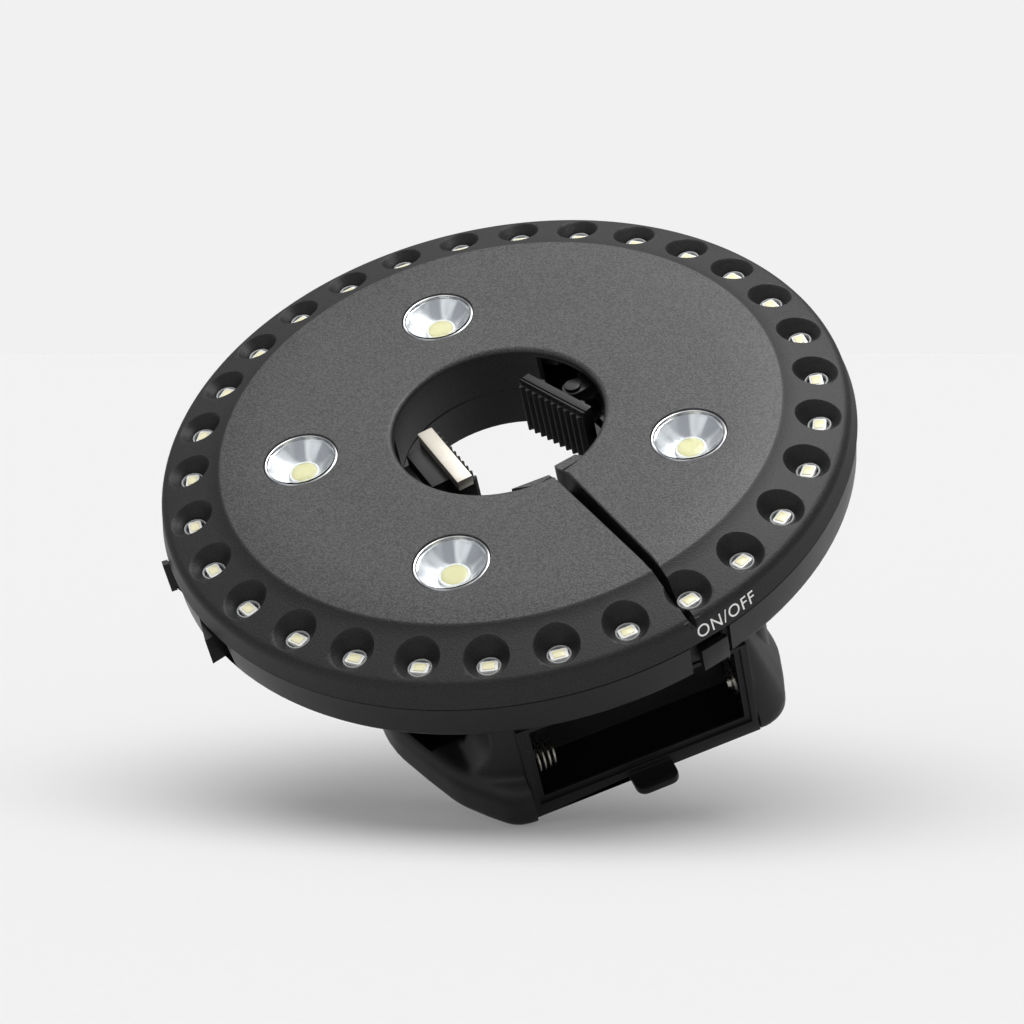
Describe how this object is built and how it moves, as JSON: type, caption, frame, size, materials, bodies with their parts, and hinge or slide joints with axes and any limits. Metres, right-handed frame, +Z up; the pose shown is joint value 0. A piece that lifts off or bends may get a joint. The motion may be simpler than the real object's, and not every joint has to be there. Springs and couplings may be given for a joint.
{
  "type": "patio umbrella light",
  "caption": "Round black battery lamp that clips round an umbrella pole between two sprung rubber jaws, with small rim lamps, spot reflectors and battery housings below",
  "frame": {"origin": "on the axis of the umbrella pole, level with the undersides of the two battery housings", "axes": "+Z is up along the pole and the lamps face +Z, -Y is the side with the open battery bay and the power button, +X is to the right when looking along +Y"},
  "size_m": [0.1872, 0.1864, 0.0532],
  "materials": {
    "shell_plastic": "fine-textured black moulding",
    "dark_plastic": "smooth black moulding",
    "pad_rubber": "ribbed black rubber",
    "jaw_bar_metal": "satin",
    "steel": "plain turned",
    "contact_nickel": "nickel plated",
    "circuit_board": "dark solder mask",
    "rim_phosphor": "lamp with phosphor",
    "spot_phosphor": "lamp with phosphor",
    "reflector_chrome": "vacuum plated",
    "clear_cover": "clear"
  },
  "bodies": {
    "lamp": {"upper_shell": "shell_plastic", "lower_shell": "shell_plastic", "led_board": "circuit_board", "rim_led_set": "rim_phosphor", "reflector_back": "reflector_chrome", "reflector_left": "reflector_chrome", "reflector_front": "reflector_chrome", "reflector_right": "reflector_chrome", "spot_led_back": "spot_phosphor", "spot_led_left": "spot_phosphor", "spot_led_front": "spot_phosphor", "spot_led_right": "spot_phosphor", "spot_cover_back": "clear_cover", "spot_cover_left": "clear_cover", "spot_cover_front": "clear_cover", "spot_cover_right": "clear_cover", "driver_chip": "dark_plastic", "switch_board": "circuit_board", "push_switch": "dark_plastic", "left_jaw_spring": "steel", "left_jaw_rods": "steel", "right_jaw_spring": "steel", "right_jaw_rods": "steel", "left_hook_pin": "steel", "front_battery_tray": "shell_plastic", "front_battery_cowl": "shell_plastic", "front_contact_springs": "contact_nickel", "front_contact_plates": "contact_nickel", "rear_battery_tray": "shell_plastic", "rear_battery_cowl": "shell_plastic", "rear_contact_springs": "contact_nickel", "rear_contact_plates": "contact_nickel", "shell_screws": "steel", "housing_screws": "steel", "board_screws": "steel"},
    "left_jaw": {"left_jaw_carrier": "dark_plastic", "left_jaw_plate": "dark_plastic", "left_jaw_pad": "pad_rubber", "left_jaw_bar": "jaw_bar_metal"},
    "right_jaw": {"right_jaw_carrier": "dark_plastic", "right_jaw_pin": "dark_plastic"},
    "right_jaw_face": {"right_jaw_plate": "dark_plastic", "right_jaw_pad": "pad_rubber"},
    "button": {"power_button": "dark_plastic"},
    "left_hook_body": {"left_hook": "dark_plastic"},
    "rear_door": {"rear_battery_door": "shell_plastic"}
  },
  "joints": [
    {"name": "left_jaw_slide", "type": "slide", "parent": "lamp", "child": "left_jaw", "axis": [-0.991, -0.134, 0], "range_m": [0, 0.005], "stiffness_N_per_m": 900, "springref_m": -0.004},
    {"name": "right_jaw_slide", "type": "slide", "parent": "lamp", "child": "right_jaw", "axis": [0.982, 0.1891, 0], "range_m": [0, 0.005], "stiffness_N_per_m": 900, "springref_m": -0.004},
    {"name": "right_jaw_swivel", "type": "hinge", "parent": "right_jaw", "child": "right_jaw_face", "pos_m": [0.02317, 0.00711, 0.0422], "axis": [0, 0, 1], "range_deg": [-28, 0]},
    {"name": "button_press", "type": "slide", "parent": "lamp", "child": "button", "axis": [0, 1, 0], "range_m": [0, 0.001], "stiffness_N_per_m": 1500, "springref_m": -0.0007},
    {"name": "left_hook_swing", "type": "hinge", "parent": "lamp", "child": "left_hook_body", "pos_m": [-0.08586, -0.02061, 0.0364], "axis": [0, 0, 1], "range_deg": [0, 90]},
    {"name": "rear_door_lift_off", "type": "slide", "parent": "lamp", "child": "rear_door", "axis": [0, 1, 0], "range_m": [0, 0.012]}
  ]
}
